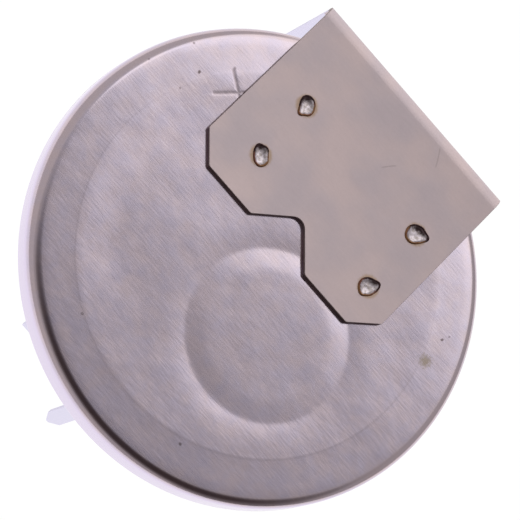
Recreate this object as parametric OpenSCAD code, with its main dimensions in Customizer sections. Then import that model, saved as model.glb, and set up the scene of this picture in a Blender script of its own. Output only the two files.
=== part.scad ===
/* [Cell] */
// Outside diameter of the cell
cell_d = 20; // [18:0.1:24]
// Height of the cell, from the cap's flat to the raised disc of the can
cell_h = 1.6; // [1.5:0.05:3.2]

/* [Positive can] */
// Steel sheet of the can
can_t = 0.2; // [0.15:0.01:0.25]
// Inside radius of the drawn edge between the positive face and the side
can_edge_in_r = 0.38; // [0.15:0.01:0.45]
// Inside radius of the crimp at the other end of the side
crimp_in_r = 0.06; // [0.04:0.01:0.1]
// Width of the crimp, from the outside of the can to its cut end
crimp_w = 1.1; // [0.9:0.05:1.3]
// Distance that the cap's flat stands below the crimp
cap_proud = 0.06; // [0.04:0.01:0.1]
// Distance from the outside of the can to the raised disc of the positive face
border_w = 2.02; // [1:0.01:3]
// Height that the border round the disc slopes down to the drawn edge
disc_rise = 0.02; // [0.01:0.01:0.06]

/* [Stamped marks] */
// Length of each bar of the plus sign
plus_l = 2.3; // [1.5:0.05:3]
// Width of the bars of the plus sign
plus_w = 0.18; // [0.1:0.01:0.4]
// Depth of the plus sign
plus_deep = 0.05; // [0.03:0.01:0.08]
// Distance from the cell's axis to the middle of the plus sign
plus_out = 7.2; // [6:0.01:7.4]
// Direction of the plus sign from the cell's axis, in degrees
plus_dir = 143; // [120:0.1:160]
// Turn of the plus sign, in degrees
plus_turn = 53; // [0:1:90]
// Diameter of the crease round the bare round field
field_d = 7.25; // [6:0.05:8]
// Depth of that crease below the disc
field_deep = 0.04; // [0.02:0.01:0.08]
// Width of the slope that leads down to the crease from outside
field_slope = 0.8; // [0.2:0.05:0.9]
// Diameter of the plain pad inside the crease
field_pad_d = 5.5; // [5:0.05:6]
// Height of that pad above the crease
field_pad_h = 0.02; // [0.01:0.01:0.04]
// Distance from the cell's axis to the middle of the round field
field_out = 2.91; // [2:0.01:3.5]
// Direction of the round field from the cell's axis, in degrees
field_dir = -38.2; // [-60:0.1:-20]

/* [Negative cap] */
// Steel sheet of the cap
cap_t = 0.2; // [0.15:0.01:0.22]
// Gap between the crimp's cut end and the cap's upright wall, where the gasket shows
cap_gap = 0.3; // [0.15:0.01:0.5]
// Inside radius of the cap's two bends
cap_bend_in_r = 0.05; // [0.03:0.01:0.06]

/* [Inside the cell] */
// Thickness of the gasket between the cap's edge and the can's side
gasket_w = 0.4; // [0.3:0.02:0.5]
// Distance that the gasket's lip stops short of the cap's flat
gasket_back = 0.15; // [0.08:0.01:0.2]
// Thickness of the lithium disc
anode_t = 0.45; // [0.42:0.01:0.6]
// Gap between the lithium disc and the cap's upright wall
anode_gap = 0.4; // [0.1:0.01:1]
// Thickness of the separator
separator_t = 0.12; // [0.08:0.01:0.2]
// Gap between the pressed cathode pellet and the gasket
cathode_gap = 1.6; // [0.2:0.01:2]
// Chamfer on the edges of the pellet
cathode_chamfer = 0.1; // [0.05:0.01:0.15]
// Thickness of the grid between the pellet and the can
grid_t = 0.06; // [0.04:0.01:0.1]
// Distance between the bars of the grid
grid_pitch = 1.3; // [1:0.1:2]
// Width of the bars of the grid
grid_bar = 0.35; // [0.2:0.05:0.5]
// Play between pieces that lie loose beside each other
play = 0.1; // [0.05:0.01:0.2]

/* [Solder tabs] */
// Steel sheet of both tabs
tab_t = 0.2; // [0.15:0.01:0.3]
// Gap between the positive tab's upright wall and the can's side
tab_gap = 0.15; // [0.02:0.01:0.3]
// Distance between the middles of the two positive pins
pin_pitch = 10.16; // [9:0.01:11]
// Distance that the positive tab is welded off the middle of the cell
positive_shift = -0.13; // [-0.4:0.01:0.4]
// Width of the negative tab
negative_w = 8.8; // [8:0.05:9.6]
// Length of the positive tab's plate, from its legs to the outer face of its upright wall
positive_l = 9.25; // [7:0.01:9.6]
// Length of the negative tab's plate, from its legs to the outer face of its upright wall
negative_l = 7.6; // [6:0.01:8]
// Distance that the negative tab's upright wall stands in from the can's side
negative_back = 1.3; // [0.8:0.01:2]
// Inside radius of the negative tab's bend
negative_bend_in_r = 0.2; // [0.1:0.01:0.25]
// Distance that the negative tab is welded off the middle of the cell
negative_shift = -0.38; // [-0.5:0.01:0.5]
// Chamfer on the outer corners of the legs
leg_chamfer = 1.15; // [0.8:0.05:1.4]
// Width of the V notch between the legs, at its mouth
notch_w = 3.4; // [2.4:0.05:4]
// Depth of the V notch
notch_deep = 1.7; // [1.2:0.05:2.2]
// Radius at the bottom of the V notch
notch_r = 0.5; // [0.2:0.05:0.7]

/* [Pins] */
// Width of a pin
pin_w = 0.75; // [0.6:0.01:1]
// Length of a pin below the shoulders that stand on the board
pin_l = 5.9; // [3:0.05:8]
// Length of the pointed end of a pin
pin_point_l = 1.1; // [0.8:0.05:1.5]
// Width of the blunt tip of a pin
pin_tip_w = 0.3; // [0.2:0.01:0.4]
// Distance from the cell's underside down to the shoulders
shoulder_drop = 0.6; // [0.5:0.05:1.5]

/* [Welds] */
// Diameter of a weld nugget
weld_d = 0.9; // [0.6:0.02:1.1]
// Height of a nugget's rim above the sheet
weld_rim = 0.06; // [0.03:0.01:0.1]
// Depth of the crater below the rim's foot
weld_pit = 0.08; // [0.04:0.01:0.12]
// Distance between the two nuggets that one pair of electrodes makes
weld_pitch = 3.15; // [2.4:0.05:3.6]
// Lean of each pair, in degrees
weld_lean = 2.3; // [0:0.1:5]
// Distance from a tab's side edge to the middle of each pair
pair_edge = 1.9; // [1.2:0.05:2.4]
// Distance that the positive tab's pairs lie off its middle
pair_shift = 0.33; // [-0.4:0.01:0.4]
// Distance from the legs' ends to the middle of the left pair
left_pair_in = 3.6; // [3:0.01:4]
// Distance from the legs' ends to the middle of the right pair
right_pair_in = 3.44; // [3:0.01:4]

/* [Hidden] */
$fn = 96;

// Heights, with zero at the tips of the pins
board_z = pin_l;
cell_z = board_z + shoulder_drop;
face_z = cell_z + cell_h;
rim_z = face_z - disc_rise;
crimp_z = cell_z + cap_proud;

// Radii of the can and its crimp
can_r = cell_d / 2;
can_edge_r = can_edge_in_r + can_t;
crimp_r = crimp_in_r + can_t;
can_in_r = can_r - can_t;
lip_r = can_r - crimp_w;
disc_r = can_r - border_w;
can_roof_z = rim_z - can_t;

// The stack from the cap's floor up to the can: the pellet fills what the others leave
anode_z = cell_z + cap_t;
separator_z = anode_z + anode_t;
cathode_z = separator_z + separator_t;
grid_z = can_roof_z - grid_t;

// The cap's flange, which the separator's edge lies on
cap_r = lip_r - cap_gap;
cap_bend_r = cap_bend_in_r + cap_t;
flange_z = separator_z - cap_t;
flange_r = can_in_r - gasket_w;
anode_r = cap_r - cap_t - anode_gap;
cathode_r = flange_r - cathode_gap;

// The tabs
positive_w = pin_pitch + pin_w;
positive_bend_in_r = can_edge_r;
positive_reach = can_r + tab_gap + tab_t;
positive_leg_y = positive_reach - positive_l;
negative_reach = can_r - negative_back;
negative_leg_y = negative_reach - negative_l;
cut = 1;

// A quarter of a bent sheet's section, round the middle of its bend
module bend(at, in_r, t, turn) {
    translate(at) rotate(turn) intersection() {
        difference() {
            circle(in_r + t);
            circle(in_r);
        }
        square(in_r + t);
    }
}

// The section of a straight stretch of sheet, from its lower left corner to its upper right one
module stretch(from, to) {
    translate(from) square(to - from);
}

// Half the section of the can, drawn from its axis outwards
module can_section() {
    stretch([0, can_roof_z], [can_r - can_edge_r, rim_z]);
    bend([can_r - can_edge_r, rim_z - can_edge_r], can_edge_in_r, can_t, 0);
    stretch([can_in_r, crimp_z + crimp_r], [can_r, rim_z - can_edge_r]);
    bend([can_r - crimp_r, crimp_z + crimp_r], crimp_in_r, can_t, -90);
    stretch([lip_r, crimp_z], [can_r - crimp_r, crimp_z + can_t]);
}

// Half the section of the cap: floor, bend, upright wall, bend and flange
module cap_section() {
    stretch([0, cell_z], [cap_r - cap_bend_r, cell_z + cap_t]);
    bend([cap_r - cap_bend_r, cell_z + cap_bend_r], cap_bend_in_r, cap_t, -90);
    stretch([cap_r - cap_t, cell_z + cap_bend_r], [cap_r, flange_z - cap_bend_in_r]);
    bend([cap_r + cap_bend_in_r, flange_z - cap_bend_in_r], cap_bend_in_r, cap_t, 90);
    stretch([cap_r + cap_bend_in_r, flange_z], [flange_r, flange_z + cap_t]);
}

// The plus sign as a cutter that reaches down from the raised disc
module plus_cutter() {
    rotate(plus_dir) translate([plus_out, 0, face_z - plus_deep]) rotate(plus_turn - plus_dir)
        for (turn = [0, 90]) rotate(turn) translate([-plus_l / 2, -plus_w / 2, 0])
            cube([plus_l, plus_w, cut]);
}

// The round field: a slope down to a crease, and inside it a plain pad with a sloping border
module field_cutter() {
    crease_r = field_d / 2;
    rotate(field_dir) translate([field_out, 0, face_z - field_deep]) rotate_extrude()
        polygon([[0, field_pad_h], [field_pad_d / 2, field_pad_h], [crease_r, 0],
            [crease_r + field_slope, field_deep], [crease_r + field_slope, cut], [0, cut]]);
}

// Positive can: a drawn steel cup, crimped inwards over the gasket
module positive_can() {
    color([0.68, 0.64, 0.68]) difference() {
        rotate_extrude() {
            can_section();
            polygon([[0, rim_z], [can_r - can_edge_r, rim_z], [disc_r, face_z], [0, face_z]]);
        }
        plus_cutter();
        field_cutter();
    }
}

// Negative cap: a shallow pressed dish whose flange is held by the gasket
module negative_cap() {
    color([0.72, 0.7, 0.7]) rotate_extrude() cap_section();
}

// Gasket: a moulded ring that fills the room between the can and the cap's edge
module gasket() {
    color([0.86, 0.86, 0.82]) rotate_extrude() difference() {
        union() {
            stretch([flange_r, crimp_z + can_t], [can_in_r, can_roof_z]);
            stretch([cap_r - cap_t / 2, crimp_z + can_t], [can_in_r, flange_z]);
            stretch([cap_r - cap_t / 2, cell_z + gasket_back], [lip_r, crimp_z + can_t]);
        }
        can_section();
        cap_section();
    }
}

// Cathode collector: a thin steel grid that presses the pellet's charge on to the can
module cathode_collector() {
    window = grid_pitch - grid_bar;
    last = floor(cathode_r / grid_pitch);
    color([0.6, 0.6, 0.62]) translate([0, 0, grid_z]) linear_extrude(grid_t) difference() {
        circle(cathode_r);
        for (i = [-last:last], j = [-last:last]) {
            corner = [abs(i) * grid_pitch + window / 2, abs(j) * grid_pitch + window / 2];
            if (norm(corner) < cathode_r - grid_bar)
                translate([i * grid_pitch, j * grid_pitch]) square(window, center = true);
        }
    }
}

// Cathode pellet: pressed manganese dioxide, with its edges chamfered
module cathode_pellet() {
    c = cathode_chamfer;
    color([0.13, 0.13, 0.14]) rotate_extrude() polygon([[0, cathode_z], [cathode_r - c, cathode_z],
        [cathode_r, cathode_z + c], [cathode_r, grid_z - c], [cathode_r - c, grid_z], [0, grid_z]]);
}

// Separator: a felt disc that lies on the lithium and on the cap's flange
module separator() {
    color([0.93, 0.93, 0.9]) translate([0, 0, separator_z]) cylinder(r = flange_r - play, h = separator_t);
}

// Lithium anode: a soft metal disc pressed into the cap
module lithium_anode() {
    color([0.75, 0.76, 0.78]) translate([0, 0, anode_z]) cylinder(r = anode_r, h = anode_t);
}

// Outline of a tab's flat plate: legs at the bottom, its bend's start at the top
module plate_outline(w, l) {
    half_angle = atan(notch_w / 2 / notch_deep);
    side_x = notch_r * cos(half_angle);
    side_y = notch_deep - side_x / tan(half_angle);
    difference() {
        polygon([[leg_chamfer - w / 2, 0], [w / 2 - leg_chamfer, 0], [w / 2, leg_chamfer],
            [w / 2, l], [-w / 2, l], [-w / 2, leg_chamfer]]);
        polygon([[-notch_w / 2, -cut], [notch_w / 2, -cut], [notch_w / 2, 0], [side_x, side_y],
            [-side_x, side_y], [-notch_w / 2, 0]]);
        translate([0, notch_deep - notch_r / sin(half_angle)]) circle(notch_r);
    }
}

// One arc of a pin's pointed end, tangent to the pin's side
module point_arc(side) {
    slim = (pin_w - pin_tip_w) / 2;
    arc_r = (pin_point_l * pin_point_l + slim * slim) / (2 * slim);
    translate([side * (pin_w / 2 - arc_r), pin_point_l]) circle(arc_r, $fn = 360);
}

// Outline of a pin, from its tip up to the board
module pin_outline() {
    intersection() {
        stretch([-pin_w / 2, 0], [pin_w / 2, pin_point_l]);
        point_arc(1);
        point_arc(-1);
    }
    stretch([-pin_w / 2, pin_point_l], [pin_w / 2, pin_l]);
}

// The four nuggets' places on a tab's plate, as pairs that lean a little
module at_welds(w, shift, leg_y) {
    for (pair = [[-1, left_pair_in], [1, right_pair_in]])
        translate([shift + pair[0] * (w / 2 - pair_edge), leg_y + pair[1]]) rotate(weld_lean)
            for (end = [-1, 1]) translate([0, end * weld_pitch / 2]) children();
}

// The nuggets' places on the positive tab
module positive_weld_places() {
    at_welds(positive_w, positive_shift + pair_shift, positive_leg_y) children();
}

// The nuggets' places on the negative tab, before it is mirrored
module negative_weld_places() {
    at_welds(negative_w, negative_shift, negative_leg_y) children();
}

// A nugget of remelted steel through the tab's sheet, with a raised rim round a crater
module nugget() {
    r = weld_d / 2;
    crest_r = r - weld_rim;
    pit_deep = weld_rim + weld_pit;
    pit_r = (crest_r * crest_r + pit_deep * pit_deep) / (2 * pit_deep);
    rotate_extrude($fn = 48) difference() {
        union() {
            square([r, tab_t]);
            translate([crest_r, tab_t]) circle(weld_rim, $fn = 32);
        }
        translate([0, tab_t - weld_pit + pit_r]) circle(pit_r, $fn = 180);
    }
}

// The hole that a nugget fills in a tab's plate
module weld_hole() {
    translate([0, 0, -cut]) cylinder(d = weld_d, h = tab_t + 2 * cut, $fn = 48);
}

// A bent stretch of a tab, across its width
module tab_bend(w, in_r) {
    rotate([90, 0, 90]) translate([0, 0, -w / 2]) linear_extrude(w) bend([0, 0], in_r, tab_t, 0);
}

// A tab's upright stretch from its bend down to the board, with its pins, standing along X
module tab_wall(w, top_z, pins) {
    rotate([90, 0, 0]) linear_extrude(tab_t) {
        stretch([-w / 2, board_z], [w / 2, top_z]);
        for (x = pins) translate([x, 0]) pin_outline();
    }
}

// Positive tab: plate on the can's face, bent down beside it to two pins
module positive_tab() {
    bend_y = positive_reach - positive_bend_in_r - tab_t;
    bend_z = face_z - positive_bend_in_r;
    color([0.66, 0.62, 0.6]) {
        difference() {
            translate([positive_shift, positive_leg_y, face_z]) linear_extrude(tab_t)
                plate_outline(positive_w, bend_y - positive_leg_y);
            translate([0, 0, face_z]) positive_weld_places() weld_hole();
        }
        translate([positive_shift, bend_y, bend_z]) tab_bend(positive_w, positive_bend_in_r);
        translate([positive_shift, positive_reach, 0])
            tab_wall(positive_w, bend_z, [-pin_pitch / 2, pin_pitch / 2]);
    }
}

// Positive tab's welds: four nuggets on the can's raised disc
module positive_tab_welds() {
    color([0.42, 0.36, 0.32]) translate([0, 0, face_z]) positive_weld_places() nugget();
}

// Negative tab: plate on the cap's flat, bent down to one pin
module negative_tab() {
    bend_r = negative_bend_in_r + tab_t;
    bend_y = negative_reach - bend_r;
    color([0.66, 0.62, 0.6]) mirror([0, 1, 0]) {
        difference() {
            translate([negative_shift, negative_leg_y, cell_z - tab_t]) linear_extrude(tab_t)
                plate_outline(negative_w, bend_y - negative_leg_y);
            translate([0, 0, cell_z - tab_t]) negative_weld_places() weld_hole();
        }
        translate([negative_shift, bend_y, cell_z - bend_r]) tab_bend(negative_w, negative_bend_in_r);
        translate([negative_shift, negative_reach, 0]) tab_wall(negative_w, cell_z - bend_r, [0]);
    }
}

// Negative tab's welds: four nuggets on the cap's flat
module negative_tab_welds() {
    color([0.42, 0.36, 0.32]) translate([0, 0, cell_z]) mirror([0, 1, 0]) mirror([0, 0, 1])
        negative_weld_places() nugget();
}

positive_can();
negative_cap();
gasket();
cathode_collector();
cathode_pellet();
separator();
lithium_anode();
positive_tab();
positive_tab_welds();
negative_tab();
negative_tab_welds();
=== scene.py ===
import math

import bmesh
import bpy
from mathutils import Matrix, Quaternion, Vector, noise


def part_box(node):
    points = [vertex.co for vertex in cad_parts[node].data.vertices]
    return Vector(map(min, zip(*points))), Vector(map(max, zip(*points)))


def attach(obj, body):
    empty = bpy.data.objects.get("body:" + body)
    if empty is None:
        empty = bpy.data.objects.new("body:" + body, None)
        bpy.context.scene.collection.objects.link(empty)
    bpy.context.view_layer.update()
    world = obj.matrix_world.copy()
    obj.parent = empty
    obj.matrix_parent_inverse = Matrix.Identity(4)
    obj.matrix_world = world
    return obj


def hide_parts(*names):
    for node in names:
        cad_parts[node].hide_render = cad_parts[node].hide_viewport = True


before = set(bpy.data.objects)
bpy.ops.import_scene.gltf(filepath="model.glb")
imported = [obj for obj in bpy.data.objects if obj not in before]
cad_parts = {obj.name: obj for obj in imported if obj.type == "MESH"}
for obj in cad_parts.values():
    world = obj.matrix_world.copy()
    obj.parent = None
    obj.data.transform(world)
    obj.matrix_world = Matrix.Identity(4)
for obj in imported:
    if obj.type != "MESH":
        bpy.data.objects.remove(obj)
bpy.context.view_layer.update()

# Camera: a long lens that looks down on the positive face from behind the negative tab, with the
# cell turned so that the positive tab points to the upper right. Pieces are worked out in
# millimetres and brought to metres as each one is finished.
MM = 0.001
VIEW_CENTRE = Vector((-0.158, 0.114, 8.121))
VIEW_DISTANCE = 133.284
VIEW_AZIMUTH = math.radians(-20.704)
VIEW_ELEVATION = math.radians(65.808)
VIEW_ROLL = math.radians(67.801)
SENSOR_WIDTH = 36
LENS = 225.2
NEAREST_METRES = 0.005
FARTHEST_METRES = 20

along_floor = math.cos(VIEW_ELEVATION)
towards_camera = Vector((
    math.sin(VIEW_AZIMUTH) * along_floor,
    -math.cos(VIEW_AZIMUTH) * along_floor,
    math.sin(VIEW_ELEVATION),
))
camera_data = bpy.data.cameras.new("camera")
camera_data.sensor_width = SENSOR_WIDTH
camera_data.lens = LENS
camera_data.clip_start = NEAREST_METRES
camera_data.clip_end = FARTHEST_METRES
camera = bpy.data.objects.new("camera", camera_data)
bpy.context.scene.collection.objects.link(camera)
camera.location = (VIEW_CENTRE + towards_camera * VIEW_DISTANCE) * MM
camera.rotation_mode = "QUATERNION"
camera.rotation_quaternion = (
    (-towards_camera).to_track_quat("-Z", "Y") @ Quaternion((0, 0, 1), VIEW_ROLL)
)
bpy.context.scene.camera = camera
bpy.context.scene.view_settings.view_transform = "Standard"


# Stage: a white table under the pins, in a room with a dark ceiling that the brushed face mirrors
# and a bright far wall. The room is the only light, and the table keeps a faint shadow.
class Wire:
    """An output socket of a shader node. Sums and products of wires add Math nodes."""

    def __init__(self, paint, socket):
        self.paint = paint
        self.socket = socket

    def math(self, operation, *others):
        """A Math node on this wire and other values."""
        return self.paint.maths(operation, self, *others)

    def __add__(self, other):
        return self.math("ADD", other)

    def __radd__(self, other):
        return self.paint.maths("ADD", other, self)

    def __sub__(self, other):
        return self.math("SUBTRACT", other)

    def __rsub__(self, other):
        return self.paint.maths("SUBTRACT", other, self)

    def __mul__(self, other):
        return self.math("MULTIPLY", other)

    def __rmul__(self, other):
        return self.paint.maths("MULTIPLY", other, self)

    def __truediv__(self, other):
        return self.math("DIVIDE", other)

    def __pow__(self, other):
        return self.math("POWER", other)


class Paint:
    """The node tree of one material or of the world."""

    def __init__(self, owner):
        owner.use_nodes = True
        self.tree = owner.node_tree
        self.tree.nodes.clear()

    def node(self, kind, settings=None, sockets=None, output=0):
        """Adds a node with its settings and its sockets' values or wires. Returns one output."""
        made = self.tree.nodes.new(kind)
        for key, value in (settings or {}).items():
            if key == "stops":
                self.set_stops(made.color_ramp, value)
            else:
                setattr(made, key, value)
        for key, value in (sockets or {}).items():
            socket = made.inputs[key]
            if isinstance(value, Wire):
                self.tree.links.new(value.socket, socket)
            elif socket.type == "RGBA" and len(value) == 3:
                socket.default_value = (*value, 1)
            else:
                socket.default_value = value
        return Wire(self, made.outputs[output]) if made.outputs else None

    @staticmethod
    def set_stops(ramp, stops):
        while len(ramp.elements) < len(stops):
            ramp.elements.new(1)
        for element, (position, colour) in zip(ramp.elements, stops):
            element.position = position
            element.color = (*colour, 1)

    def maths(self, operation, *values):
        return self.node("ShaderNodeMath", {"operation": operation}, dict(enumerate(values)))

    def place(self):
        """The point in the piece's own frame, in millimetres."""
        metres = self.node("ShaderNodeTexCoord", output="Object")
        return self.node("ShaderNodeVectorMath", {"operation": "SCALE"}, {0: metres, 3: 1 / MM})

    def distance(self, a, b):
        return self.node("ShaderNodeVectorMath", {"operation": "DISTANCE"}, {0: a, 1: b}, "Value")

    def split(self, vector):
        return [self.node("ShaderNodeSeparateXYZ", None, {0: vector}, i) for i in range(3)]

    def join(self, x, y, z):
        return self.node("ShaderNodeCombineXYZ", None, {0: x, 1: y, 2: z})

    def grain(self, point, scale, detail, rough, warp=0.0):
        """Smooth noise from 0 to 1, with scale in grains a millimetre."""
        return self.node("ShaderNodeTexNoise", None, {
            "Vector": point, "Scale": scale, "Detail": detail, "Roughness": rough,
            "Distortion": warp,
        })

    def step(self, value, low, high, start=0.0, end=1.0):
        """A soft step of a value, from start at low to end at high."""
        return self.node("ShaderNodeMapRange", {"interpolation_type": "SMOOTHSTEP"}, {
            0: value, 1: low, 2: high, 3: start, 4: end,
        })

    def attribute(self, name):
        """A number that the piece's vertices carry."""
        return self.node("ShaderNodeAttribute", {"attribute_name": name}, output="Fac")

    def blend(self, share, a, b, way="MIX"):
        """A mix of two colours."""
        return self.node("ShaderNodeMix", {"data_type": "RGBA", "blend_type": way}, {
            0: share, 6: a, 7: b,
        }, 2)

    def toned(self, colour, tone):
        """A colour made lighter or darker by a number near 1."""
        return self.blend(1.0, colour, self.join(tone, tone, tone), "MULTIPLY")

    def bump(self, height, depth_mm, normal=None):
        """A normal from a height of 0 to 1 that stands for a depth in millimetres."""
        sockets = {"Height": height, "Distance": depth_mm * MM, "Strength": 1.0}
        if normal is not None:
            sockets["Normal"] = normal
        return self.node("ShaderNodeBump", None, sockets)

    def principled(self, **sockets):
        named = {key.replace("_", " ").title(): value for key, value in sockets.items()}
        shader = self.node("ShaderNodeBsdfPrincipled", None, named)
        self.node("ShaderNodeOutputMaterial", None, {0: shader})


def new_paint(name):
    """An empty material and the paint that fills it."""
    material = bpy.data.materials.new(name)
    return material, Paint(material)


def shade(red, green, blue):
    """A colour given in the 0 to 255 steps of a screen, as the shader's linear values."""
    steps = [c / 255 for c in (red, green, blue)]
    return tuple(c / 12.92 if c <= 0.04045 else ((c + 0.055) / 1.055) ** 2.4 for c in steps)


def add_piece(name, bm, *materials):
    """Turns a bmesh in millimetres into a piece in metres, with its place in its mesh."""
    bmesh.ops.scale(bm, vec=(MM, MM, MM), verts=bm.verts)
    mesh = bpy.data.meshes.new(name)
    bm.to_mesh(mesh)
    bm.free()
    for material in materials:
        mesh.materials.append(material)
    piece = bpy.data.objects.new(name, mesh)
    bpy.context.scene.collection.objects.link(piece)
    return piece


TABLE_RADIUS = 1500
TABLE_SIDES = 64
TABLE_GLOW = 0.97
TABLE_FAINT = (0.12, 0.12, 0.12)
TABLE_MATT = (0.8, 0.8, 0.8)

table_white, paint = new_paint("table_white")
seen = 0.0
for ray in ("Is Camera Ray", "Is Glossy Ray", "Is Transmission Ray"):
    seen = seen + paint.node("ShaderNodeLightPath", output=ray)
matt = paint.node("ShaderNodeBsdfDiffuse", None, {"Color": TABLE_MATT})
faint = paint.node("ShaderNodeBsdfDiffuse", None, {"Color": TABLE_FAINT})
glow = paint.node("ShaderNodeEmission", None, {"Color": (1, 1, 1), "Strength": TABLE_GLOW})
shown = paint.node("ShaderNodeAddShader", None, {0: faint, 1: glow})
mixed = paint.node("ShaderNodeMixShader", None, {0: seen, 1: matt, 2: shown})
paint.node("ShaderNodeOutputMaterial", None, {0: mixed})
bm = bmesh.new()
bmesh.ops.create_circle(bm, cap_ends=True, segments=TABLE_SIDES, radius=TABLE_RADIUS)
table = add_piece("table", bm, table_white)

# The room is drawn over the sideways and forward parts of a direction. Its levels run outwards
# from the middle of the ceiling. A soft step is given by where it starts and where it ends, with
# its two levels where they aren't 0 and 1.
ROOM_STRENGTH = 1.8
CEILING_AT = (0.24, -0.30)
CEILING_HALF_WIDTH = 0.75
CEILING_AHEAD = 0.57
CEILING_BEHIND = 0.50
CEILING_NARROWS = (0.0, 0.35, 1.0, 0.8)
ROOM_REACH = 2
ROOM_LEVELS = [
    (0, 0.022), (0.55, 0.025), (0.73, 0.055), (0.9, 0.105), (1.0, 0.185), (1.07, 0.23),
    (1.14, 0.24), (1.20, 0.22), (1.24, 0.35), (1.28, 0.80), (1.34, 0.90), (1.46, 0.72),
]
LEFT_TO_RIGHT = (-0.2, 0.4, 0.32, 0.25)
FAR_WALL_LEFT = (-0.36, -0.10)
FAR_WALL_RIGHT = (0.14, 0.36, 1.0, 0.0)
FAR_WALL_FOOT = (0.15, 0.40)
FAR_WALL_TOP = (0.6, 0.9, 1.0, 0.4)
FAR_WALL_LEVEL = 0.95
ROOM_COLOURS = [
    (0, (0.0, 0.0, 0.0)), (0.028, (0.034, 0.0265, 0.027)), (0.25, (0.25, 0.246, 0.247)),
    (1.0, (1.0, 1.0, 0.96)),
]

world = bpy.data.worlds.new("room")
bpy.context.scene.world = world
paint = Paint(world)
direction = paint.node("ShaderNodeTexCoord", output="Generated")
sideways, ahead = paint.split(direction)[:2]
off_x = (sideways - CEILING_AT[0]) / CEILING_HALF_WIDTH * paint.step(ahead, *CEILING_NARROWS)
off_y = ahead - CEILING_AT[1]
off_y = (off_y / CEILING_AHEAD).math("MAXIMUM", off_y / -CEILING_BEHIND)
away = (off_x * off_x + off_y * off_y) ** 0.5
stops = [(at / ROOM_REACH, (level, level, level)) for at, level in ROOM_LEVELS]
room = paint.node("ShaderNodeValToRGB", {"stops": stops}, {0: away * (1 / ROOM_REACH)})
far_wall = paint.step(sideways, *FAR_WALL_LEFT) * paint.step(sideways, *FAR_WALL_RIGHT)
far_wall = far_wall * paint.step(ahead, *FAR_WALL_FOOT) * paint.step(ahead, *FAR_WALL_TOP)
most = paint.step(sideways, *LEFT_TO_RIGHT) + FAR_WALL_LEVEL * far_wall
room = room.math("MINIMUM", most)
room = paint.node("ShaderNodeValToRGB", {"stops": ROOM_COLOURS}, {0: room})
background = paint.node("ShaderNodeBackground", None, {"Color": room, "Strength": ROOM_STRENGTH})
paint.node("ShaderNodeOutputWorld", None, {0: background})


# Positive can: a cup drawn from nickel-plated steel sheet, with a raised disc, a plus sign and a
# round field stamped into its face. The other end of its side is crimped inwards.
def node_box(node):
    """The lowest and highest corner of a CAD node, in millimetres."""
    low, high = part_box(node)
    return low / MM, high / MM


def arc(centre, radius, start, end, steps):
    """Points along an arc, with its angles in degrees."""
    turns = [math.radians(start + (end - start) * i / steps) for i in range(steps + 1)]
    return [(centre[0] + radius * math.cos(t), centre[1] + radius * math.sin(t)) for t in turns]


def lathe(bm, profile, steps):
    """Spins a line of (radius, height) points round the upright axis."""
    verts = [bm.verts.new((radius, 0, z)) for radius, z in profile]
    edges = [bm.edges.new(pair) for pair in zip(verts, verts[1:])]
    bmesh.ops.spin(
        bm, geom=verts + edges, cent=(0, 0, 0), axis=(0, 0, 1),
        angle=math.tau, steps=steps, use_merge=True,
    )


MERGE_WITHIN = 0.0005


def finish_mesh(bm):
    """Merges doubles and points the faces outwards."""
    bmesh.ops.remove_doubles(bm, verts=bm.verts, dist=MERGE_WITHIN)
    bmesh.ops.recalc_face_normals(bm, faces=bm.faces)


def smooth(piece, sharp_angle):
    """Smooth shading with crisp edges above an angle, led by the larger faces."""
    piece.data.shade_smooth()
    piece.data.set_sharp_from_angle(angle=math.radians(sharp_angle))
    weighted = piece.modifiers.new("weighted_normals", "WEIGHTED_NORMAL")
    weighted.keep_sharp = True
    weighted.weight = 100


can_low, can_high = node_box("positive_can")
CAN_R = can_high.x
FACE_Z = can_high.z
CRIMP_Z = can_low.z
STEEL = 0.2
RIM_DROP = 0.008
EDGE_R = 0.40
EDGE_FULLER = 0.22
EDGE_FULLER_TO = math.radians(208)
CRIMP_R = 0.26
LIP_R = 8.9
LIP_CHAMFER = 0.04
DISC_R = 7.97
DISC_FLAT_R = 5.0
DISC_STEEP = 1.5
DISC_STEEP_TO = math.radians(192)
DISC_SINK = 0.028
DISC_CURVE = 1.4
DISC_RINGS = 12
BORDER_STEPS = (8.03, 8.1, 8.18, 8.3, 8.6, 8.9, 9.2)
BORDER_DIP = 0.0022
BORDER_SHARP = 5
BORDER_FALL = 0.0015
FIELD_CENTRE = Vector((2.29, -1.80, 0))
FIELD_RISES = [
    (0, 0), (1.0, 0.0004), (1.8, 0.0010), (2.3, 0.0022), (2.6, 0.0026), (2.76, 0.0018),
    (2.9, -0.0006), (3.1, -0.0050), (3.3, -0.0100), (3.48, -0.0150), (3.56, -0.0170),
    (3.62, -0.0178), (3.68, -0.0172), (3.76, -0.0152), (3.88, -0.0120), (4.04, -0.0084),
    (4.24, -0.0046), (4.48, -0.0016), (4.82, 0),
]
PLUS_AT = Vector((-5.75, 4.33, 0))
PLUS_ARMS = ((51, 1.08), (149, 0.93))
PLUS_WIDTH = 0.26
PLUS_DEEP = 0.0035
PLUS_REACH = 1.6
PLUS_NEAR = 1.3
PLUS_SIDE_CUTS = 4
PLUS_END_CUTS = 3
CREST_SHADE_R = 8.03
CREST_SHADE_WIDTH = 0.07
CREST_SHADE = 0.2
CAN_STEPS = 192
EDGE_STEPS = 14
CRIMP_STEPS = 10
INNER_EDGE_STEPS = 6
INNER_CRIMP_STEPS = 4

rim_z = FACE_Z - RIM_DROP
roof_z = rim_z - STEEL


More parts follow.
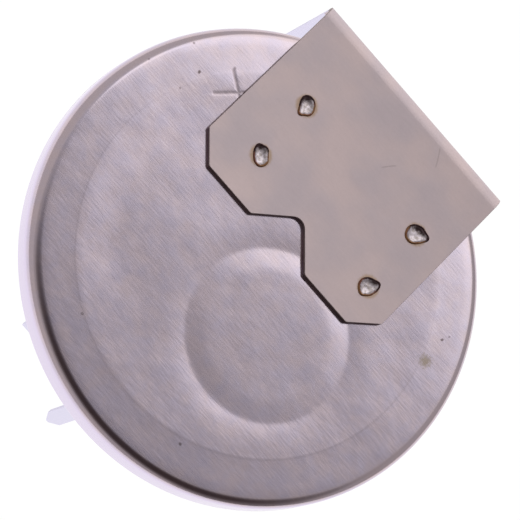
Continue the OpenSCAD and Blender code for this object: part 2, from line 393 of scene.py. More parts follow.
def shell_profile(turn):
    """The can from its upper edge round its side and crimp to the inside of its roof."""
    edge_r = EDGE_R + EDGE_FULLER * max(0, math.cos(turn - EDGE_FULLER_TO))
    edge_at = (CAN_R - edge_r, rim_z - edge_r)
    crimp_at = (CAN_R - CRIMP_R, CRIMP_Z + CRIMP_R)
    return (
        arc(edge_at, edge_r, 90, 0, EDGE_STEPS)
        + arc(crimp_at, CRIMP_R, 0, -90, CRIMP_STEPS)
        + [(LIP_R + LIP_CHAMFER, CRIMP_Z), (LIP_R, CRIMP_Z + LIP_CHAMFER)]
        + [(LIP_R, CRIMP_Z + STEEL)]
        + arc(crimp_at, CRIMP_R - STEEL, -90, 0, INNER_CRIMP_STEPS)
        + arc(edge_at, edge_r - STEEL, 0, 90, INNER_EDGE_STEPS)
        + [(0, roof_z)]
    )


def disc_height(point):
    """Height of the pressed face: a shallow dish up to the disc's crest, then a falling border."""
    radius = point.length
    if radius < DISC_R:
        turn = math.atan2(point.y, point.x)
        flat_r = DISC_FLAT_R + DISC_STEEP * max(0, math.cos(turn - DISC_STEEP_TO)) ** 2
        share = max(0, (radius - flat_r) / (DISC_R - flat_r))
        return FACE_Z - DISC_SINK * (1 - share ** DISC_CURVE)
    out = radius - DISC_R
    return FACE_Z - BORDER_DIP * (1 - math.exp(-BORDER_SHARP * out)) - BORDER_FALL * out


field_r = FIELD_RISES[-1][0]
face_rings = [(FIELD_CENTRE, radius, rise) for radius, rise in FIELD_RISES]
for number in range(1, DISC_RINGS + 1):
    share = number / DISC_RINGS
    face_rings.append((FIELD_CENTRE * (1 - share), field_r + (DISC_R - field_r) * share, 0))
face_rings += [(Vector(), radius, 0) for radius in BORDER_STEPS]


def can_point(number, turn):
    """A point of one ring, counted from the field's middle outwards and round to the roof."""
    way = Vector((math.cos(turn), math.sin(turn), 0))
    if number < len(face_rings):
        centre, radius, rise = face_rings[number]
        point = centre + way * radius
        return Vector((point.x, point.y, disc_height(point) + rise))
    radius, z = shell_profile(turn)[number - len(face_rings)]
    return Vector((way.x * radius, way.y * radius, z))


def plus_strokes():
    """The way along each stroke of the plus, the way across it, and half its length."""
    for angle, half_length in PLUS_ARMS:
        along = Vector((math.cos(math.radians(angle)), math.sin(math.radians(angle)), 0))
        yield along, Vector((-along.y, along.x, 0)), half_length


def plus_depth(spot):
    """How deep a point lies in the plus, from 0 beside it to 1 in the middle of a stroke."""
    offs = []
    for along, across, half_length in plus_strokes():
        beyond = max(0, abs(spot.dot(along)) - half_length)
        offs.append(math.hypot(spot.dot(across), beyond) / (PLUS_WIDTH / 2))
    return (1 - min(1, *offs) ** 2) ** 2


# A tube with one row for each ring is spun first, and each row then goes to its ring.
ring_count = len(face_rings) + len(shell_profile(0))
bm = bmesh.new()
lathe(bm, [(1, number) for number in range(ring_count)], CAN_STEPS)
for vert in bm.verts:
    vert.co = can_point(round(vert.co.z), math.atan2(vert.co.y, vert.co.x))
finish_mesh(bm)

plus_at = PLUS_AT + Vector((0, 0, FACE_Z))
half_width = PLUS_WIDTH / 2
for along, across, half_length in plus_strokes():
    side_cuts = range(-PLUS_SIDE_CUTS, PLUS_SIDE_CUTS + 1)
    cuts = [(across, half_width * i / PLUS_SIDE_CUTS) for i in side_cuts]
    for side in (-1, 1):
        for i in range(PLUS_END_CUTS + 1):
            cuts.append((along, side * (half_length + half_width * i / PLUS_END_CUTS)))
    near_r = half_length * PLUS_NEAR
    for way, offset in cuts:
        near = [f for f in bm.faces if (f.calc_center_median() - plus_at).length < near_r]
        near += list({e for f in near for e in f.edges}) + list({v for f in near for v in f.verts})
        cut_at = plus_at + way * offset
        bmesh.ops.bisect_plane(bm, geom=near, dist=0.0001, plane_co=cut_at, plane_no=way)
# Painted shade: each vertex carries how much the plus's grooves and a thin ring along the disc's
# crest are darkened.
grime = bm.verts.layers.float.new("grime")
for vert in bm.verts:
    if vert.co.z > rim_z:
        off_crest = abs(vert.co.xy.length - CREST_SHADE_R) / CREST_SHADE_WIDTH
        vert[grime] = max(0, 1 - off_crest) * CREST_SHADE
    spot = vert.co - plus_at
    if spot.length < PLUS_REACH and spot.z > -STEEL / 2:
        sunk = plus_depth(spot)
        vert.co.z -= PLUS_DEEP * sunk
        vert[grime] = max(vert[grime], sunk)
finish_mesh(bm)
can = add_piece("can", bm)
smooth(can, 50)

CAN_GREY = shade(213, 197, 207)
CAN_LILAC = shade(204, 193, 211)
CAN_SIDE_REFLECTION = shade(226, 214, 236)
EDGE_SHADE_BROWN = shade(204, 181, 176)
SPECK_BROWN = shade(84, 66, 62)
PAINTED_SHADE_BROWN = shade(120, 104, 104)
STAIN_BROWN = shade(150, 134, 106)
BRUSHED_TO_R = (9.38, 9.46, 1.0, 0.0)
HIGHLIGHT_WAY = (-0.97, -0.24)
HIGHLIGHT_FROM_R = (5.9, 6.7)
HIGHLIGHT_TO_R = (7.85, 8.15, 1.0, 0.0)
EDGE_FROM_R = (9.50, 9.68)
EDGE_TO_R = (9.86, 9.96, 1.0, 0.0)
FACE_STAIN_AT = (7.77, 2.73)
FACE_STAIN_R = 0.42
FACE_SPECKS = [
    (-7.49, 3.61, 0.10, 0.8), (-8.50, 4.29, 0.07, 0.5), (-7.55, 2.49, 0.07, 0.4),
    (-6.59, 4.95, 0.09, 0.4), (-9.29, 2.30, 0.08, 0.4), (-3.67, -7.21, 0.10, 0.4),
    (2.88, -7.78, 0.09, 0.6), (7.67, 3.95, 0.09, 0.7), (7.80, 4.28, 0.07, 0.5),
]

brushed_steel, paint = new_paint("brushed_can_steel")
point = paint.place()
x, y, z = paint.split(point)
radius = (x * x + y * y) ** 0.5
streaks = paint.grain(paint.join(x * 1.5, y * 13, z * 13), 1.0, 3.0, 0.6, 0.3)
fine_streaks = paint.grain(paint.join(x * 3.2, y * 30, z * 30), 1.0, 2.0, 0.5, 0.3)
patches = paint.grain(point, 0.42, 2.0, 0.5)
clouds = paint.grain(point, 1.3, 3.0, 0.55)
speckle = paint.grain(point, 9.0, 2.0, 0.6)
on_face = paint.step(z, FACE_Z - 0.1, FACE_Z - 0.05) * paint.step(radius, *BRUSHED_TO_R)
strong = paint.step(patches, 0.38, 0.62) * on_face
tone = 1.0 + (streaks - 0.5) * (0.17 + strong * 0.17)
tone = tone + (fine_streaks - 0.5) * (0.08 + strong * 0.08)
# Painted highlight: the tone is raised in a band inside the disc's crest, on its -X side.
painted_highlight = (x * HIGHLIGHT_WAY[0] + y * HIGHLIGHT_WAY[1]) / radius
painted_highlight = paint.step(painted_highlight, 0.45, 0.95) * paint.step(radius, *HIGHLIGHT_FROM_R)
tone = tone + painted_highlight * paint.step(radius, *HIGHLIGHT_TO_R) * 0.09
base = paint.blend(paint.step(clouds, 0.25, 0.75), CAN_GREY, CAN_LILAC)
base = paint.toned(base, tone)
# Painted reflection: the can's side is blended to a paler lilac, which stands for the white table
# it mirrors.
side = paint.step(radius, CAN_R - 0.08, CAN_R - 0.01)
base = paint.blend(side, base, CAN_SIDE_REFLECTION)
# A brown tint all round the can's rounded edge. It is a tint of the drawn edge and also painted
# shade that darkens the edge's line.
edge_shade = paint.step(radius, *EDGE_FROM_R) * paint.step(radius, *EDGE_TO_R)
edge_shade = edge_shade * paint.step(z, rim_z - 0.35, rim_z - 0.2)
base = paint.blend(edge_shade * 0.4, base, EDGE_SHADE_BROWN)
stain = paint.distance(point, (*FACE_STAIN_AT, FACE_Z)) + (speckle - 0.5) * 0.4
base = paint.blend(paint.step(stain, 0.08, FACE_STAIN_R, 0.7, 0.0), base, STAIN_BROWN)
for spot_x, spot_y, spot_r, share in FACE_SPECKS:
    from_speck = paint.distance(point, (spot_x, spot_y, FACE_Z)) + (speckle - 0.5) * 0.08
    base = paint.blend(paint.step(from_speck, spot_r * 0.4, spot_r, share, 0.0), base, SPECK_BROWN)
# Painted shade: the plus's grooves and the disc's crest are darkened to brown.
grime = paint.attribute("grime") * paint.step(clouds, 0.3, 0.6, 0.3, 0.6)
base = paint.blend(grime, base, PAINTED_SHADE_BROWN)
roughness = 0.17 + (streaks - 0.5) * 0.10
normal = paint.bump(paint.grain(point, 0.33, 2.0, 0.5), 0.020)
normal = paint.bump(streaks * 0.75 + fine_streaks * 0.25, 0.0012, normal)
paint.principled(base_color=base, metallic=1.0, roughness=roughness, normal=normal)
can.data.materials.append(brushed_steel)
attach(can, "root")
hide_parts("positive_can")

# Solder tabs: blanked from steel strip, bent down at the cell's edge, and dipped in solder at the
# pins. The positive one lies on the disc and has two pins, the negative one lies under the cap.
TAB_STEEL = 0.2
LEG_CHAMFER = 1.15
NOTCH_WIDTH = 3.4
NOTCH_DEEP = 1.7
NOTCH_ROUND = 0.5
CORNER_ROUND = 0.06
POSITIVE_BEND_INSIDE = 0.58
NEGATIVE_BEND_INSIDE = 0.2
BEND_STEPS = 12
BEND_FULL = 2.9
BEND_SKEW = 0.0045
PIN_PITCH = 10.16
PIN_WIDTH = 0.75
PIN_POINT = 0.9
PIN_TIP = 0.12
PIN_CORNER = (0.02, 0.07)
PIN_TIP_CORNER = (0.03, 0.06)
SHOULDER_Z = 5.9
CELL_Z = node_box("negative_cap")[0].z
CUT_ROUND = 0.02
HOLE_STEPS = 48
WELD_MEAN = 0.43
TOUCHING = 0.001
FLAT_ENOUGH = 0.9999

POSITIVE_SPOTS = [
    {"at": (-3.40, 6.19), "shade_to": 150,
     "reach": (0.39, 0.37, 0.39, 0.43, 0.46, 0.44, 0.37, 0.33, 0.37, 0.53, 0.43, 0.42)},
    {"at": (-3.26, 3.15), "shade_to": 130,
     "reach": (0.42, 0.34, 0.34, 0.44, 0.45, 0.49, 0.40, 0.34, 0.34, 0.41, 0.48, 0.47)},
    {"at": (3.70, 6.12), "shade_to": 95,
     "reach": (0.45, 0.60, 0.47, 0.44, 0.42, 0.44, 0.47, 0.49, 0.51, 0.47, 0.41, 0.39)},
    {"at": (3.80, 2.91), "shade_to": 95,
     "reach": (0.37, 0.46, 0.56, 0.42, 0.39, 0.39, 0.42, 0.45, 0.47, 0.50, 0.41, 0.38)},
]
NEGATIVE_SPOTS = [
    {"at": (-2.94, 6.27), "shade_to": 60, "reach": POSITIVE_SPOTS[1]["reach"][::-1]},
    {"at": (-2.82, 3.13), "shade_to": 110, "reach": POSITIVE_SPOTS[0]["reach"][::-1]},
    {"at": (2.06, 6.11), "shade_to": 200, "reach": POSITIVE_SPOTS[3]["reach"][::-1]},
    {"at": (2.18, 2.97), "shade_to": 80, "reach": POSITIVE_SPOTS[2]["reach"][::-1]},
]


def weld_reach(spot, turn):
    """Distance from a weld's middle to its edge in one direction, through twelve distances."""
    at = turn / math.tau * 12
    first = math.floor(at)
    share = at - first
    p, q, r, t = [spot["reach"][(first + i) % 12] for i in range(-1, 3)]
    bend = 2 * p - 5 * q + 4 * r - t
    return q + share / 2 * (r - p + share * (bend + share * (3 * (q - r) + t - p)))


def weld_hole(bm, spot, z):
    """The ring of edges round a weld's hole in the sheet."""
    verts = []
    for i in range(HOLE_STEPS):
        turn = math.tau * i / HOLE_STEPS
        reach = weld_reach(spot, turn)
        x, y = spot["at"]
        verts.append(bm.verts.new((x + reach * math.cos(turn), y + reach * math.sin(turn), z)))
    return [bm.edges.new(pair) for pair in zip(verts, verts[1:] + verts[:1])]


def round_corner(bm, vert, size, steps):
    """Rounds a corner of a flat outline."""
    bmesh.ops.bevel(
        bm, geom=[vert], affect="VERTICES", offset=size, segments=steps, profile=0.5, material=-1,
    )


def plate_outline(bm, middle, half, legs_y, bend_y, plate_z):
    """The edges of the plate's outline, with its chamfered legs and the notch between them."""
    outline = [
        (-half + LEG_CHAMFER, legs_y), (-NOTCH_WIDTH / 2, legs_y), (0, legs_y + NOTCH_DEEP),
        (NOTCH_WIDTH / 2, legs_y), (half - LEG_CHAMFER, legs_y), (half, legs_y + LEG_CHAMFER),
        (half, bend_y), (-half, bend_y), (-half, legs_y + LEG_CHAMFER),
    ]
    verts = [bm.verts.new((middle + x, y, plate_z)) for x, y in outline]
    bm.faces.new(verts)
    legs = [verts[i] for i in (0, 1, 3, 4, 5, 8)]
    round_corner(bm, verts[2], NOTCH_ROUND, 8)
    for corner in legs:
        round_corner(bm, corner, CORNER_ROUND, 3)
    bmesh.ops.delete(bm, geom=bm.faces[:], context="FACES_ONLY")
    return bm.edges[:]


def bend_down(bm, back, bend_y, plate_z, bend_r):
    """Bends the sheet down at its back edges, a little fuller than round, and returns its end."""
    bent = bmesh.ops.spin(
        bm, geom=back + list({v for e in back for v in e.verts}),
        cent=(0, bend_y, plate_z - bend_r), axis=(-1, 0, 0), angle=math.pi / 2, steps=BEND_STEPS,
    )
    for vert in {v for f in bm.faces for v in f.verts if v.co.y > bend_y - TOUCHING}:
        out = (vert.co.y - bend_y) / bend_r
        up = (vert.co.z - plate_z) / bend_r + 1
        fuller = (abs(out) ** BEND_FULL + abs(up) ** BEND_FULL) ** (-1 / BEND_FULL)
        vert.co.y = bend_y + out * fuller * bend_r
        vert.co.z = plate_z + (up * fuller - 1) * bend_r
    last = [v for v in bent["geom_last"] if isinstance(v, bmesh.types.BMVert)]
    return sorted(last, key=lambda v: v.co.x)


def pin_points(middle):
    """A pin's outline from one side of its top to the other, round its blunt point."""
    half, tip = PIN_WIDTH / 2, PIN_TIP / 2
    side = [
        (half, SHOULDER_Z), (half, PIN_POINT), (half - PIN_CORNER[0], PIN_POINT - PIN_CORNER[1]),
        (tip + PIN_TIP_CORNER[0], PIN_TIP_CORNER[1]), (tip, 0.0),
    ]
    points = [(-x, z) for x, z in side] + side[::-1]
    return [(middle + x, z) for x, z in points]


def pinned_wall(bm, bend_end, middle, half, wall_y, pins):
    """One face from the end of the bend down to the shoulders and the pins' points."""
    points = [(-half, SHOULDER_Z)]
    for pin in pins:
        points += pin_points(pin)
    points.append((half, SHOULDER_Z))
    kept = [p for i, p in enumerate(points) if i == 0 or math.dist(p, points[i - 1]) > TOUCHING]
    verts = [bm.verts.new((middle + x, wall_y, z)) for x, z in kept]
    bm.faces.new([bend_end[0]] + verts + [bend_end[-1]])
    return verts


def make_tab(name, node, bend_inside, pins, spots, mirrored, materials):
    """A tab as a sheet of one thickness: plate with its weld holes, bend, wall and pins."""
    low, high = node_box(node)
    side = -1 if mirrored else 1
    legs_y, wall_y = sorted((low.y * side, high.y * side))
    plate_z = CELL_Z if mirrored else FACE_Z + TAB_STEEL
    middle, half = (low.x + high.x) / 2, (high.x - low.x) / 2
    bend_r = bend_inside + TAB_STEEL
    bend_y = wall_y - bend_r
    bm = bmesh.new()
    borders = plate_outline(bm, middle, half, legs_y, bend_y, plate_z)
    back = [e for e in borders if all(abs(v.co.y - bend_y) < TOUCHING for v in e.verts)]
    for spot in spots:
        borders += weld_hole(bm, spot, plate_z)
    bmesh.ops.triangle_fill(bm, edges=borders, use_beauty=True, normal=(0, 0, 1))
    bend_end = bend_down(bm, back, bend_y, plate_z, bend_r)
    wall_verts = pinned_wall(bm, bend_end, middle, half, wall_y, pins)
    others = [v for v in bm.verts if v not in wall_verts]
    bmesh.ops.dissolve_limit(bm, angle_limit=0.01, verts=others, edges=bm.edges[:])
    for vert in bm.verts:
        if vert.co.y > bend_y - TOUCHING:
            vert.co.y -= BEND_SKEW * (middle + half - vert.co.x)
    if mirrored:
        bmesh.ops.scale(bm, vec=(1, -1, 1), verts=bm.verts)
    bmesh.ops.recalc_face_normals(bm, faces=bm.faces)
    top = max(bm.faces, key=lambda f: f.calc_area() * abs(f.normal.z))
    if top.normal.z < 0:
        bmesh.ops.reverse_faces(bm, faces=bm.faces)
    tab = add_piece(name, bm, *materials)
    thick = tab.modifiers.new("thickness", "SOLIDIFY")
    thick.thickness = TAB_STEEL * MM
    thick.offset = -1
    thick.use_even_offset = True
    thick.material_offset_rim = 1
    rounded = tab.modifiers.new("cut_edges", "BEVEL")
    rounded.width = CUT_ROUND * MM
    rounded.segments = 2
    rounded.limit_method = "ANGLE"
    rounded.angle_limit = math.radians(50)
    smooth(tab, 60)
    for face in tab.data.polygons:
        face.use_smooth = max(abs(c) for c in face.normal) < FLAT_ENOUGH
    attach(tab, "root")
    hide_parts(node)


TAB_WARM = shade(213, 194, 196)
TAB_COOL = shade(206, 191, 197)
TIN_AND_TABLE_SHEEN = shade(224, 219, 240)
SCRATCH_GREY = shade(150, 134, 134)
HEAT_GOLD = shade(176, 142, 96)
CUT_DARK = shade(138, 120, 116)
HEAT_FROM = WELD_MEAN - 0.02
HEAT_TO = WELD_MEAN + 0.15
TIN_TOP = 7.6
TIN_BEND_Y = 8.3
TIN_SLOPE = 0.06
PLATE_MIDDLE_Y = 5.0
PLATE_HALF_LENGTH = 4.5
PLATE_BOW = 0.055
PLATE_SCRATCHES = [((0.61, 6.87), (1.02, 7.62)), ((1.76, 9.67), (2.41, 8.85))]


def tin_depth(z, y):
    """Distance from the pins' tips along the sheet: up the wall and then over the plate."""
    onto_plate = TIN_BEND_Y - y
    return z + onto_plate.math("MAXIMUM", 0.0)


def scratch_line(paint, x, y, start, end):
    """A thin curved line from one point of the plate to another."""
    length = math.dist(start, end)
    way_x, way_y = (end[0] - start[0]) / length, (end[1] - start[1]) / length
    to_x, to_y = x - start[0], y - start[1]
    along = to_x * way_x + to_y * way_y
    aside = to_y * way_x - to_x * way_y + along * along * 0.12
    line = paint.step(aside * aside, 0.0001, 0.0016, 0.3, 0.0)
    return line * paint.step(along, 0.0, 0.2) * paint.step(along, length - 0.2, length, 1.0, 0.0)


def tab_material(name, spots, scratches, bow_from_z, mirrored):
    """Rolled steel, straw-coloured round the welds, with a pale end on the wall and pins: tin,
    lightened by a painted reflection of the white table.
    """
    material, paint = new_paint(name)
    point = paint.place()
    x, y, z = paint.split(point)
    y = y * (-1 if mirrored else 1)
    clouds = paint.grain(point, 0.5, 2.0, 0.5)
    rolled = paint.grain(paint.join(x * 1.4, y * 9, z * 9), 1.0, 3.0, 0.6)
    speckle = paint.grain(point, 9.0, 2.0, 0.6)
    base = paint.blend(paint.step(clouds, 0.3, 0.7), TAB_WARM, TAB_COOL)
    base = paint.toned(base, 1.0 + (rolled - 0.5) * 0.07 + (speckle - 0.5) * 0.07)
    halo = 0.0
    for spot in spots:
        to_x, to_y = x - spot["at"][0], y - spot["at"][1]
        away = (to_x * to_x + to_y * to_y) ** 0.5 + (speckle - 0.5) * 0.12
        halo = halo + paint.step(away, HEAT_FROM, HEAT_TO, 1.0, 0.0)
    base = paint.blend(halo * 0.6, base, HEAT_GOLD)
    for start, end in scratches:
        base = paint.blend(scratch_line(paint, x, y, start, end), base, SCRATCH_GREY)
    # The wall below the bend and the pins are blended to pale lavender: tin, and a painted
    # reflection of the white table.
    dip = tin_depth(z, y) - x * TIN_SLOPE + (clouds - 0.5) * 0.3
    tin_and_sheen = paint.step(dip, TIN_TOP, TIN_TOP + 0.07, 1.0, 0.0)
    base = paint.blend(tin_and_sheen, base, TIN_AND_TABLE_SHEEN)
    roughness = 0.42 + (clouds - 0.5) * 0.1 - tin_and_sheen * 0.16
    bow = (y - PLATE_MIDDLE_Y) / PLATE_HALF_LENGTH
    bow = bow * bow * paint.step(z, bow_from_z - 0.03, bow_from_z - 0.005)
    normal = paint.bump(bow, PLATE_BOW)
    normal = paint.bump(paint.grain(point, 0.5, 2.0, 0.5), 0.008, normal)
    normal = paint.bump(rolled * 0.5 + speckle * 0.5, 0.0012, normal)
    paint.principled(base_color=base, metallic=1.0, roughness=roughness, normal=normal)
    return material


cut_edge, paint = new_paint("sheared_tab_edge")
point = paint.place()
x, y, z = paint.split(point)
torn = paint.grain(paint.join(x * 3, y * 3, z * 24), 1.0, 3.0, 0.6)
base = paint.toned(CUT_DARK, 0.6 + torn * 0.8)
# The same pale tin and painted reflection of the table on the cut edges of the wall and pins.
dip = tin_depth(z, y.math("ABSOLUTE"))
base = paint.blend(paint.step(dip, TIN_TOP, TIN_TOP + 0.1, 1.0, 0.0), base, TIN_AND_TABLE_SHEEN)
normal = paint.bump(torn, 0.004)
paint.principled(base_color=base, metallic=1.0, roughness=0.4 + torn * 0.2, normal=normal)

positive_sheet = tab_material(
    "positive_tab_steel", POSITIVE_SPOTS, PLATE_SCRATCHES, FACE_Z, False,
)
negative_sheet = tab_material("negative_tab_steel", NEGATIVE_SPOTS, (), SHOULDER_Z, True)
make_tab(
    "positive_tab_sheet", "positive_tab", POSITIVE_BEND_INSIDE, (-PIN_PITCH / 2, PIN_PITCH / 2),
    POSITIVE_SPOTS, False, (positive_sheet, cut_edge),
)
make_tab(
    "negative_tab_sheet", "negative_tab", NEGATIVE_BEND_INSIDE, (0.0,),
    NEGATIVE_SPOTS, True, (negative_sheet, cut_edge),
)

# Welds: nuggets where two electrodes melted the tab into the cell, each with a thrown-up rim, a
# bright cast bowl and a burnt ring. Each bowl and ring is darker towards one side: painted shade
# over random soot patches.
WELD_STEPS = 96
WELD_PROFILE = [
    (1.0, -TAB_STEEL), (1.0, -0.03), (1.035, 0.002), (1.04, 0.012), (1.01, 0.034), (0.96, 0.049),
    (0.90, 0.052), (0.85, 0.040), (0.80, 0.016), (0.73, -0.012), (0.60, -0.034), (0.42, -0.046),
    (0.26, -0.051), (0.12, -0.053), (0, -0.053),
]
BOWL_UNEVEN = 0.012
BOWL_GRAINS = 2.6
BOWLS_APART = 7.0
FIRST_BOWL = 1.5
WELD_SILVER = shade(230, 219, 227)
WELD_DULL = shade(196, 184, 184)
WELD_SOOT_AND_SHADE = shade(112, 94, 96)
WELD_BURNT_AND_SHADE = shade(66, 48, 50)
WELD_RUST = shade(126, 82, 68)
WELD_GOLD = shade(146, 108, 78)

weld_metal, paint = new_paint("weld_metal")
share = paint.attribute("share")
soot = paint.attribute("soot")
point = paint.place()
mottle = paint.grain(point, 7.0, 3.0, 0.6)
patch = paint.grain(point, 2.6, 2.0, 0.5)
# Painted shade: each weld's bowl and ring are darkened towards one side, with random soot patches
# over it. The ring's rust and gold heat tint is its own.
soot = soot + (patch - 0.5) * 1.0 + (mottle - 0.5) * 0.5
base = paint.blend(paint.step(mottle, 0.42, 0.60), WELD_SILVER, WELD_DULL)
base = paint.blend(paint.step(soot, 0.36, 0.66), base, WELD_SOOT_AND_SHADE)
ring = paint.blend(paint.step(patch, 0.40, 0.55), WELD_RUST, WELD_GOLD)
ring = paint.blend(paint.step(soot, -0.2, 0.4), ring, WELD_BURNT_AND_SHADE)
base = paint.blend(paint.step(share + (mottle - 0.5) * 0.16, 0.78, 0.88), base, ring)
normal = paint.bump(mottle, 0.003)
paint.principled(base_color=base, metallic=1.0, roughness=0.30 + mottle * 0.16, normal=normal)


def make_welds(name, node, spots, plate_z, mirrored):
    """The four nuggets of one tab, spun as rounds and drawn out to each weld's own outline."""
    bm = bmesh.new()
    share_layer = bm.verts.layers.float.new("share")
    soot_and_shade_layer = bm.verts.layers.float.new("soot")
    for number, spot in enumerate(spots):
        before = set(bm.verts)
        lathe(bm, WELD_PROFILE, WELD_STEPS)
        made = [v for v in bm.verts if v not in before]
        for vert in made:
            flat = math.hypot(vert.co.x, vert.co.y)
            turn = math.atan2(vert.co.y, vert.co.x)
            reach = weld_reach(spot, turn)
            seed = Vector((vert.co.x, vert.co.y, 0)) * BOWL_GRAINS
            seed.z = FIRST_BOWL + BOWLS_APART * number
            vert[share_layer] = flat
            # Painted shade: how far a point lies towards the weld's shaded side.
            vert[soot_and_shade_layer] = flat * math.cos(turn - math.radians(spot["shade_to"]))
            if vert.co.z > -TAB_STEEL / 2:
                inside = max(0.0, 1 - flat ** 6)
                vert.co.z += BOWL_UNEVEN * noise.noise(seed) * inside
            vert.co.x *= reach
            vert.co.y *= reach
        bmesh.ops.translate(bm, vec=(*spot["at"], 0), verts=made)
    bmesh.ops.remove_doubles(bm, verts=bm.verts, dist=MERGE_WITHIN)
    bottoms = [e for e in bm.edges if e.is_boundary]
    bmesh.ops.holes_fill(bm, edges=bottoms, sides=0)
    if mirrored:
        bmesh.ops.scale(bm, vec=(1, -1, -1), verts=bm.verts)
    bmesh.ops.translate(bm, vec=(0, 0, plate_z), verts=bm.verts)
    bmesh.ops.recalc_face_normals(bm, faces=bm.faces)
    welds = add_piece(name, bm, weld_metal)
    smooth(welds, 60)
    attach(welds, "root")
    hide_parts(node)


make_welds("positive_welds", "positive_tab_welds", POSITIVE_SPOTS, FACE_Z + TAB_STEEL, False)
make_welds("negative_welds", "negative_tab_welds", NEGATIVE_SPOTS, CELL_Z - TAB_STEEL, True)

# Negative cap: a shallow dish pressed from stainless strip. Its flat faces the board, and the
# crimped can and the gasket hold its flange.
FLANGE_TOP = node_box("negative_cap")[1].z
FLANGE_R = node_box("negative_cap")[1].x
CAP_R = 8.6
CAP_BEND_OUT = 0.25
CAP_BEND_IN = 0.05
CAP_OUT_STEPS = 10
CAP_IN_STEPS = 4
CAP_GREY = shade(214, 208, 210)

flange_z = FLANGE_TOP - STEEL
outer_bend = (CAP_R - CAP_BEND_OUT, CELL_Z + CAP_BEND_OUT)
flange_bend = (CAP_R + CAP_BEND_IN, flange_z - CAP_BEND_IN)
cap_profile = (
    [(0, CELL_Z)]
    + arc(outer_bend, CAP_BEND_OUT, -90, 0, CAP_OUT_STEPS)
    + arc(flange_bend, CAP_BEND_IN, 180, 90, CAP_IN_STEPS)
    + [(FLANGE_R, flange_z), (FLANGE_R, FLANGE_TOP)]
    + arc(flange_bend, CAP_BEND_OUT, 90, 180, CAP_OUT_STEPS)
    + arc(outer_bend, CAP_BEND_IN, 0, -90, CAP_IN_STEPS)
    + [(0, CELL_Z + STEEL)]
)
cap_steel, paint = new_paint("cap_steel")
point = paint.place()
x, y, z = paint.split(point)
rolled = paint.grain(paint.join(x * 12, y * 0.8, z * 12), 1.0, 3.0, 0.6)
clouds = paint.grain(point, 0.7, 3.0, 0.55)
base = paint.toned(CAP_GREY, 1.0 + (rolled - 0.5) * 0.16 + (clouds - 0.5) * 0.10)
roughness = 0.26 + (clouds - 0.5) * 0.12
normal = paint.bump(rolled * 0.5 + clouds * 0.5, 0.0015)
paint.principled(base_color=base, metallic=1.0, roughness=roughness, normal=normal)
bm = bmesh.new()
lathe(bm, cap_profile, CAN_STEPS)
finish_mesh(bm)
cap = add_piece("cap", bm, cap_steel)
smooth(cap, 50)
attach(cap, "root")
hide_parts("negative_cap")

# Gasket: a moulded polypropylene ring that fills the gap between the can and the cap. Its lip
# shows between the crimped edge and the cap.
GASKET_TOE_Z = node_box("gasket")[0].z
GASKET_R = node_box("gasket")[1].x
GASKET_ROUND = 0.03
GASKET_STEPS = 3
GASKET_CHAMFER = 0.06
GASKET_TOP_CHAMFER = 0.12
NATURAL_DARK = (0.66, 0.66, 0.60)
NATURAL_PALE = (0.76, 0.75, 0.69)

toe_z = GASKET_TOE_Z + GASKET_ROUND
crimp_top = CRIMP_Z + STEEL
gasket_profile = (
    arc((CAP_R + GASKET_ROUND, toe_z), GASKET_ROUND, 180, 270, GASKET_STEPS)
    + arc((LIP_R - GASKET_ROUND, toe_z), GASKET_ROUND, -90, 0, GASKET_STEPS)
    + [(LIP_R, crimp_top), (GASKET_R - GASKET_CHAMFER, crimp_top)]
    + [(GASKET_R, crimp_top + GASKET_CHAMFER), (GASKET_R, roof_z - GASKET_TOP_CHAMFER)]
    + [(GASKET_R - GASKET_TOP_CHAMFER, roof_z), (FLANGE_R, roof_z), (FLANGE_R, flange_z)]
    + [(CAP_R + CAP_BEND_IN, flange_z), (CAP_R, flange_z - CAP_BEND_IN), (CAP_R, toe_z)]
)
gasket_plastic, paint = new_paint("gasket_plastic")
clouds = paint.grain(paint.place(), 1.6, 3.0, 0.55)
base = paint.blend(clouds, NATURAL_DARK, NATURAL_PALE)
paint.principled(base_color=base, roughness=0.42, normal=paint.bump(clouds, 0.004))
bm = bmesh.new()
lathe(bm, gasket_profile, CAN_STEPS)
finish_mesh(bm)
gasket = add_piece("gasket_ring", bm, gasket_plastic)
smooth(gasket, 50)
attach(gasket, "root")
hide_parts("gasket")

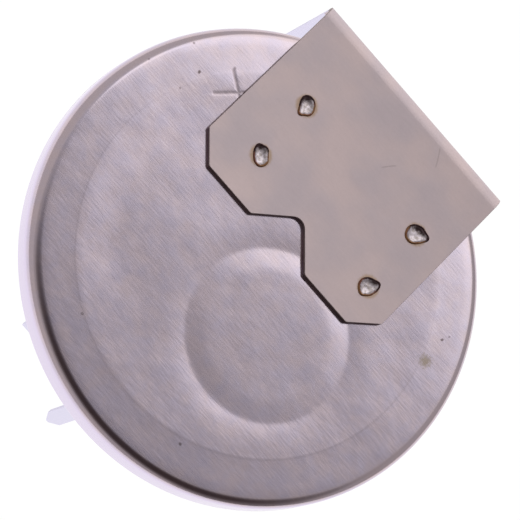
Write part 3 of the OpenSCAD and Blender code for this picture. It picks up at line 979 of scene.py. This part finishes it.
# Inside: the steel grid, the pressed black pellet, the felt and the lithium disc, which only a cut
# or a taken-apart cell shows. They stay the CAD's own solids.
GRID_DARK = (0.46, 0.46, 0.48)
GRID_BRIGHT = (0.58, 0.58, 0.60)
MIX_BLACK = (0.012, 0.012, 0.013)
MIX_GREY = (0.045, 0.044, 0.046)
FELT_SHADED = (0.70, 0.70, 0.67)
FELT_WHITE = (0.86, 0.86, 0.84)
LITHIUM_BRIGHT = (0.62, 0.63, 0.65)
LITHIUM_TARNISHED = (0.36, 0.35, 0.36)

grid_steel, paint = new_paint("grid_steel")
clouds = paint.grain(paint.place(), 2.0, 3.0, 0.6)
base = paint.blend(clouds, GRID_DARK, GRID_BRIGHT)
normal = paint.bump(clouds, 0.004)
paint.principled(base_color=base, metallic=1.0, roughness=0.35 + clouds * 0.1, normal=normal)

cathode_mix, paint = new_paint("cathode_mix")
powder = paint.grain(paint.place(), 14.0, 4.0, 0.7)
base = paint.blend(powder, MIX_BLACK, MIX_GREY)
paint.principled(base_color=base, roughness=0.86, normal=paint.bump(powder, 0.012))

separator_felt, paint = new_paint("separator_felt")
fibres = paint.grain(paint.place(), 5.0, 4.0, 0.75, 1.6)
base = paint.blend(paint.step(fibres, 0.35, 0.65), FELT_SHADED, FELT_WHITE)
paint.principled(base_color=base, roughness=0.95, normal=paint.bump(fibres, 0.02))

lithium_metal, paint = new_paint("lithium_metal")
tarnish = paint.grain(paint.place(), 0.9, 4.0, 0.65)
base = paint.blend(paint.step(tarnish, 0.35, 0.7), LITHIUM_BRIGHT, LITHIUM_TARNISHED)
normal = paint.bump(tarnish, 0.01)
paint.principled(base_color=base, metallic=1.0, roughness=0.40 + tarnish * 0.2, normal=normal)

INSIDE = [
    ("cathode_collector", grid_steel, "grid_steel"),
    ("cathode_pellet", cathode_mix, "cathode_mix"),
    ("separator", separator_felt, "separator_felt"),
    ("lithium_anode", lithium_metal, "lithium"),
]
for node_name, material, slot_name in INSIDE:
    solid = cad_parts[node_name]
    solid.data.materials.clear()
    solid.data.materials.append(material)
